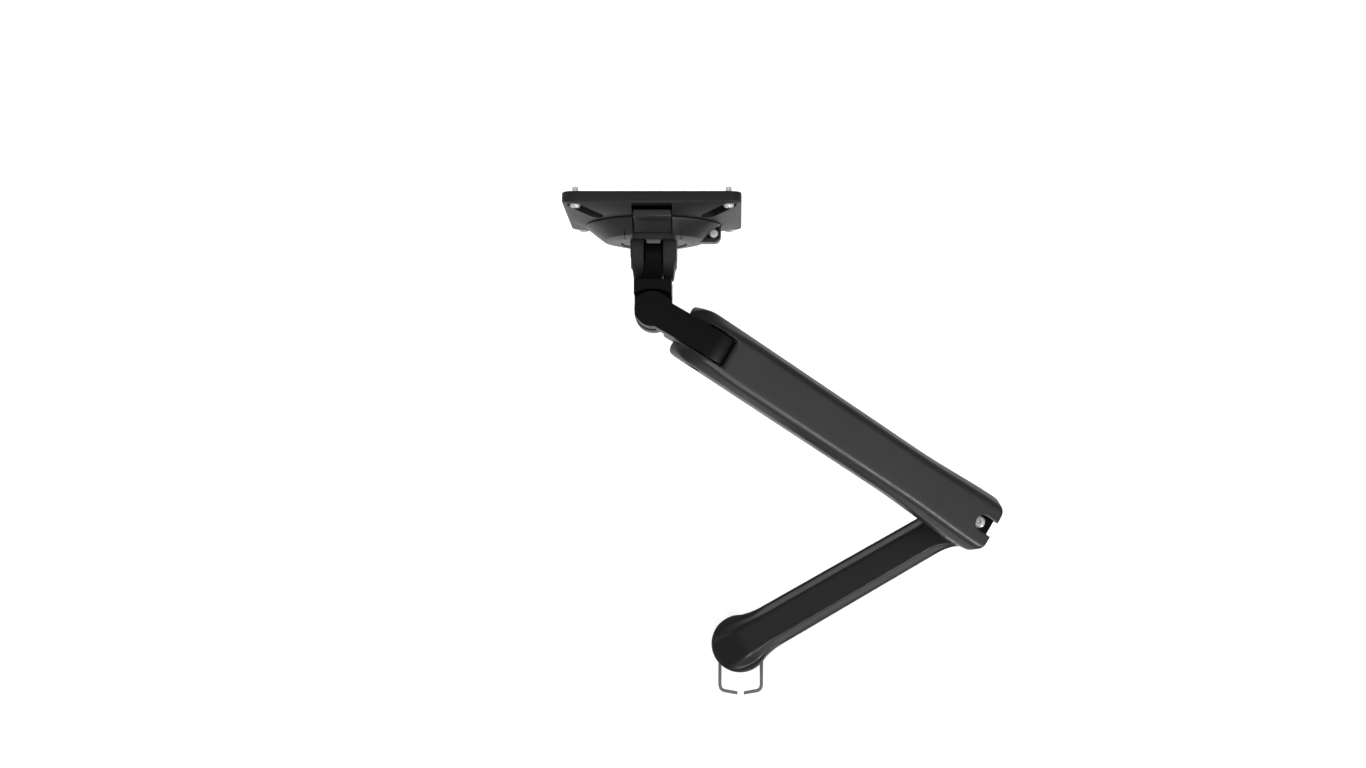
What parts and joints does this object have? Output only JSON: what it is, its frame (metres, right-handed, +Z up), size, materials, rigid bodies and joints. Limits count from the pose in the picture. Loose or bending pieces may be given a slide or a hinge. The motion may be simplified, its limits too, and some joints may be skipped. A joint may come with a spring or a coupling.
{
  "type": "monitor arm",
  "caption": "Bolt-through desk arm for a display: post, swinging lower arm, gas-spring parallelogram upper arm, panning and tilting head, quick-release VESA plate.",
  "frame": {"origin": "post axis at the desk surface, where the base pad rests", "axes": "+Z up; +Y from the post towards the display, square to the VESA plate at rest; +X to the right of someone standing behind the arm and facing the display"},
  "size_m": [0.3037, 0.3337, 0.4715],
  "materials": {
    "arm_black": "satin powder coat, near black",
    "grey_paint": "satin dark grey paint",
    "deep_black": "low-gloss deep black",
    "plate_black": "fine texture black paint",
    "grey_plastic": "fine moulded grain",
    "black_plastic": "fine moulded grain",
    "rubber_pad": "matt",
    "zinc_steel": "zinc plated, turned",
    "dark_steel": "blackened",
    "bright_screw": "bright nickel plated",
    "nylon": "unfilled nylon"
  },
  "bodies": {
    "base": {"base_pad": "rubber_pad", "base_flange": "arm_black", "mount_stud": "zinc_steel", "post_tube": "arm_black", "post_spindle": "zinc_steel", "cable_clip": "grey_plastic"},
    "desk_clamp": {"clamp_pad": "rubber_pad", "clamp_plate": "dark_steel"},
    "clamp_nut": {"hand_nut": "black_plastic"},
    "lower_arm": {"lower_arm_casting": "arm_black", "lower_cable_cover": "black_plastic", "hub_bush": "nylon", "hub_set_screw": "dark_steel", "elbow_collar": "grey_paint", "elbow_bush": "nylon", "elbow_end_cap": "black_plastic"},
    "elbow": {"elbow_turret": "deep_black", "elbow_shaft": "zinc_steel", "elbow_lock_nut": "dark_steel", "trunnion_block": "dark_steel"},
    "tension": {"tension_screw": "bright_screw"},
    "upper_arm": {"upper_arm_cover": "arm_black", "rear_pivot_left": "zinc_steel", "rear_pivot_right": "zinc_steel", "rear_spacer_left": "nylon", "rear_spacer_right": "nylon", "front_pivot_pin": "zinc_steel", "spring_front_pin": "zinc_steel"},
    "parallel": {"lower_link": "arm_black", "lower_pivot_left": "zinc_steel", "lower_pivot_right": "zinc_steel", "link_front_pin": "zinc_steel"},
    "spring_rod": {"gas_rod": "zinc_steel", "gas_piston": "nylon"},
    "spring_cylinder": {"gas_cylinder": "dark_steel", "gas_cylinder_eye": "dark_steel"},
    "head": {"head_link": "deep_black"},
    "pan": {"pan_block": "deep_black", "pan_bolt": "zinc_steel", "pan_bush": "nylon", "tilt_bush": "nylon"},
    "tilt": {"tilt_clevis": "grey_paint", "tilt_bolt": "dark_steel", "tilt_lock_nut": "dark_steel", "turntable_retainer": "dark_steel", "tilt_stop_plate": "grey_plastic"},
    "plate": {"quick_release_disc": "grey_paint", "vesa_plate": "plate_black", "lock_screw": "bright_screw", "latch_pin": "zinc_steel", "latch_spring": "zinc_steel", "vesa_screw_lt": "bright_screw", "vesa_screw_rt": "bright_screw", "vesa_screw_lb": "bright_screw", "vesa_screw_rb": "bright_screw"},
    "latch": {"latch_paddle": "grey_plastic"}
  },
  "joints": [
    {"name": "base_swivel", "type": "hinge", "parent": "base", "child": "lower_arm", "pos_m": [0, 0, 0.15], "axis": [0, 0, 1], "range_deg": [-180, 180]},
    {"name": "elbow_swivel", "type": "hinge", "parent": "lower_arm", "child": "elbow", "pos_m": [0.16021, 0.0925, 0.16], "axis": [0, 0, 1], "range_deg": [-255, 15]},
    {"name": "arm_lift", "type": "hinge", "parent": "elbow", "child": "upper_arm", "pos_m": [0.16021, 0.0925, 0.207], "axis": [0.5, 0.866, 0], "range_deg": [-54, 6]},
    {"name": "lower_link_swing", "type": "hinge", "parent": "elbow", "child": "parallel", "pos_m": [0.16021, 0.0925, 0.187], "axis": [0.5, 0.866, 0], "range_deg": [-54, 6]},
    {"name": "gas_rod_swing", "type": "hinge", "parent": "elbow", "child": "spring_rod", "pos_m": [0.16974, 0.087, 0.195], "axis": [0.5, 0.866, 0], "range_deg": [-52, 7]},
    {"name": "gas_cylinder_swing", "type": "hinge", "parent": "upper_arm", "child": "spring_cylinder", "pos_m": [0.01506, 0.17631, 0.32507], "axis": [0.5, 0.866, 0], "range_deg": [-1, 4]},
    {"name": "head_level", "type": "hinge", "parent": "upper_arm", "child": "head", "pos_m": [-0.02265, 0.19808, 0.36041], "axis": [0.5, 0.866, 0], "range_deg": [-6, 54]},
    {"name": "head_pan", "type": "hinge", "parent": "head", "child": "pan", "pos_m": [-0.05816, 0.21858, 0.365], "axis": [0, 0, 1], "range_deg": [-30, 150]},
    {"name": "head_tilt", "type": "hinge", "parent": "pan", "child": "tilt", "pos_m": [-0.05816, 0.25558, 0.347], "axis": [1, 0, 0], "range_deg": [-45, 45]},
    {"name": "plate_rotation", "type": "hinge", "parent": "tilt", "child": "plate", "pos_m": [-0.05816, 0.27558, 0.347], "axis": [0, 1, 0], "range_deg": [-90, 90]},
    {"name": "latch_press", "type": "hinge", "parent": "plate", "child": "latch", "pos_m": [-0.05816, 0.27968, 0.3835], "axis": [1, 0, 0], "range_deg": [0, 7], "stiffness_Nm_per_rad": 0.05},
    {"name": "tension_screw_turn", "type": "hinge", "parent": "elbow", "child": "tension", "pos_m": [0.16974, 0.087, 0.209], "axis": [0, 0, 1], "continuous": true},
    {"name": "desk_clamp_travel", "type": "slide", "parent": "base", "child": "desk_clamp", "axis": [0, 0, 1], "range_m": [-0.018, 0.015]},
    {"name": "clamp_nut_turn", "type": "hinge", "parent": "desk_clamp", "child": "clamp_nut", "pos_m": [0, 0, -0.035], "axis": [0, 0, 1], "continuous": true}
  ],
  "couplings": [
    {"joint": "lower_link_swing", "follows": "arm_lift", "ratio": 1},
    {"joint": "gas_rod_swing", "follows": "arm_lift", "ratio": 0.942},
    {"joint": "gas_cylinder_swing", "follows": "arm_lift", "ratio": -0.058},
    {"joint": "head_level", "follows": "arm_lift", "ratio": -1}
  ]
}
